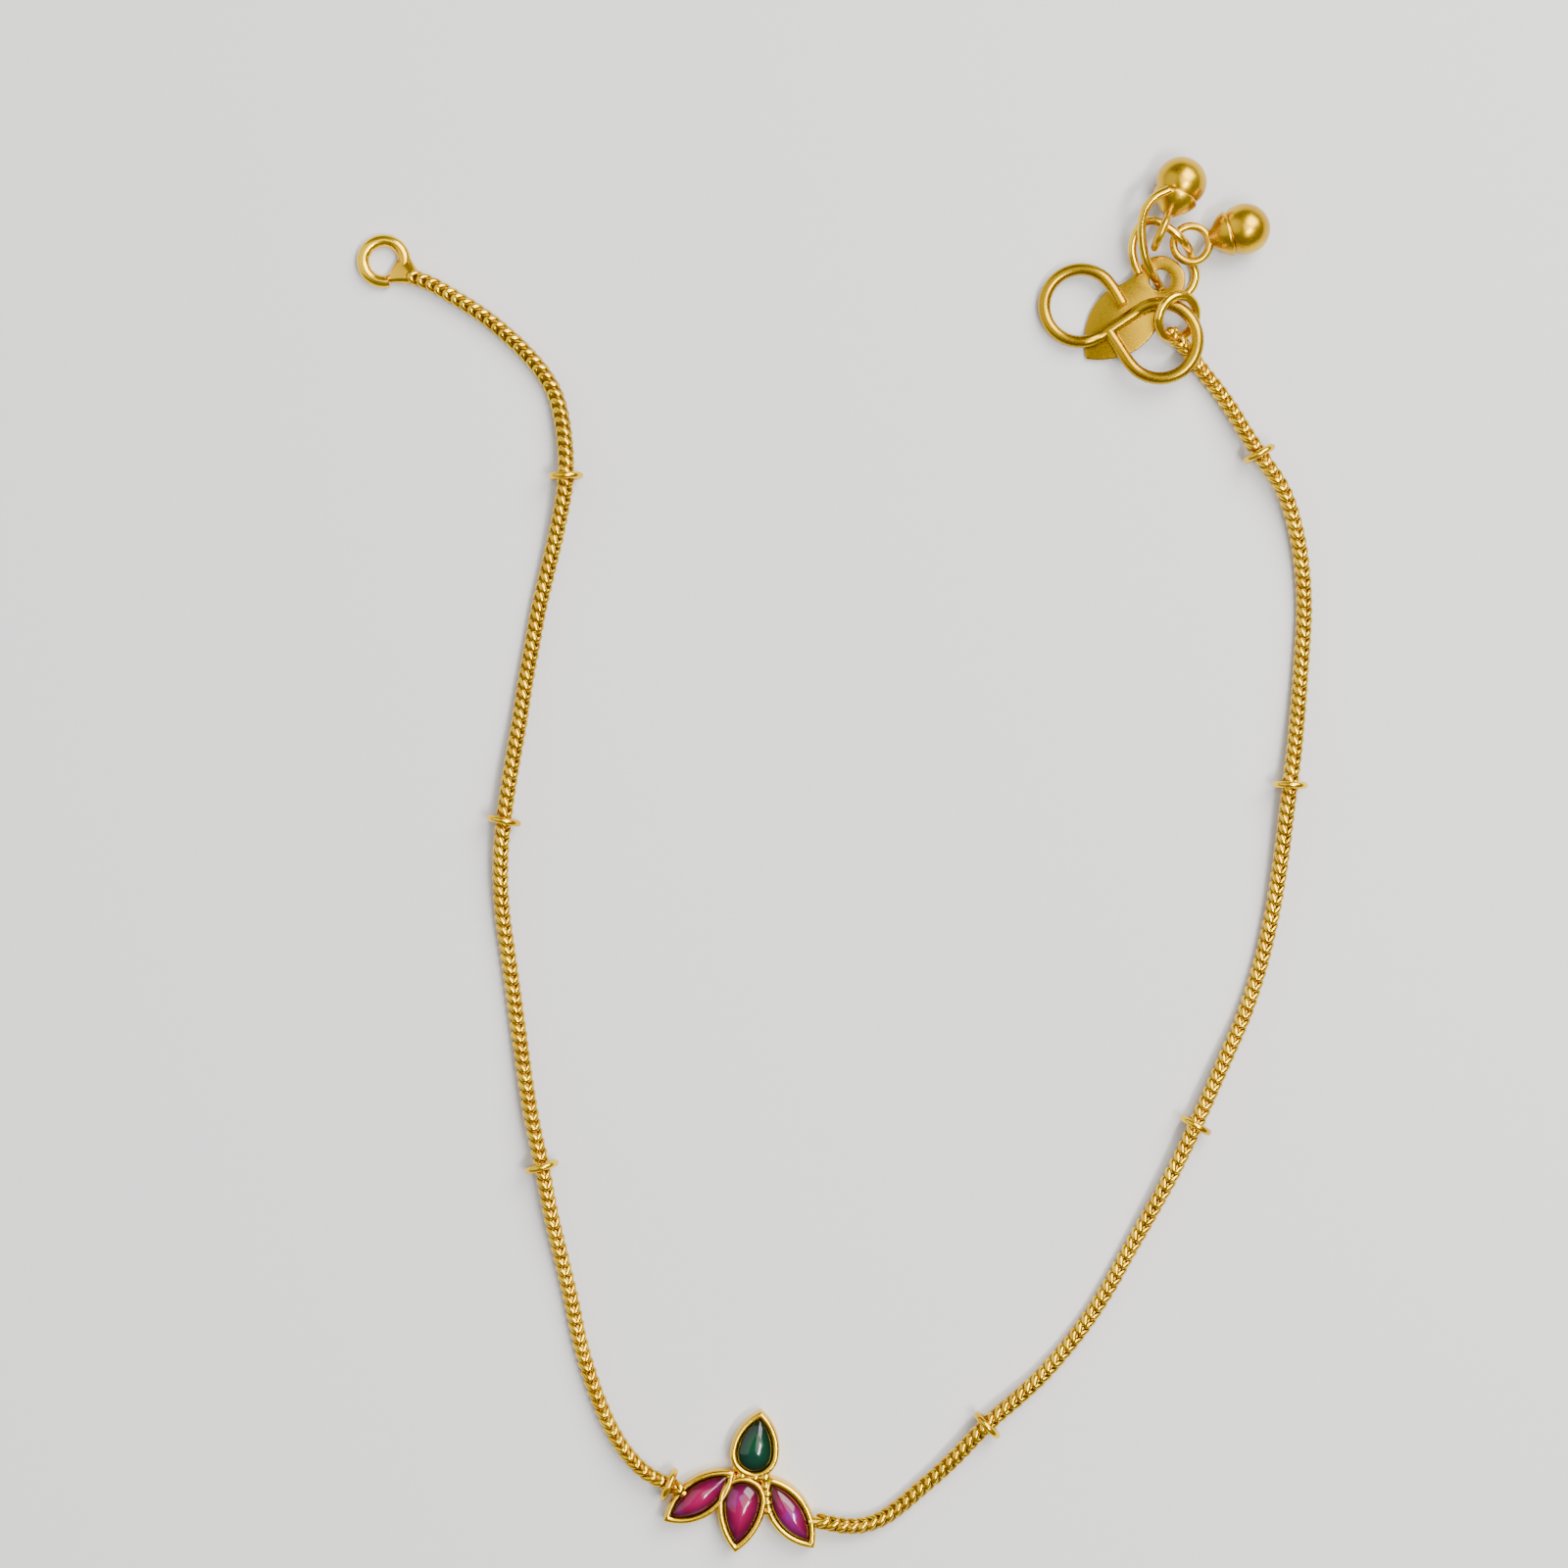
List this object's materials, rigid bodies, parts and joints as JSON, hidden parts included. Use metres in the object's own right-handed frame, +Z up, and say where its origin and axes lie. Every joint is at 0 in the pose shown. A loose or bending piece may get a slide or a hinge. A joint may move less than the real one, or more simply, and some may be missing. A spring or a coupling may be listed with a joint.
{
  "type": "anklet",
  "caption": "Woven chain anklet lying unfastened, with a four-stone flower, small spacer rings, an end ring, and an S-hook with a leaf plate, a bell ring and round bells",
  "frame": {"origin": "on the surface the anklet lies on, under the middle of its outline", "axes": "+Z up from the surface, +Y along the length of the open loop from the flower to the clasp, +X to the right seen from above"},
  "size_m": [0.083, 0.121, 0.0051],
  "materials": {
    "gold": "gold-plated, satin to polished",
    "woven_gold": "gold-plated woven wire",
    "pink_stone": "polished cabochon",
    "green_stone": "polished cabochon"
  },
  "bodies": {
    "root": {"chain_left": "woven_gold", "chain_right": "woven_gold", "spacer_ring_1": "gold", "spacer_ring_2": "gold", "spacer_ring_3": "gold", "spacer_ring_4": "gold", "spacer_ring_5": "gold", "spacer_ring_6": "gold", "spacer_ring_7": "gold", "spacer_ring_8": "gold", "end_ring": "gold", "s_hook": "gold", "clasp_ring": "gold", "bell_ring": "gold", "bell_1": "gold", "bell_2": "gold", "flower_setting": "gold", "stone_green": "green_stone", "stone_pink_middle": "pink_stone", "stone_pink_left": "pink_stone", "stone_pink_right": "pink_stone"}
  },
  "joints": []
}
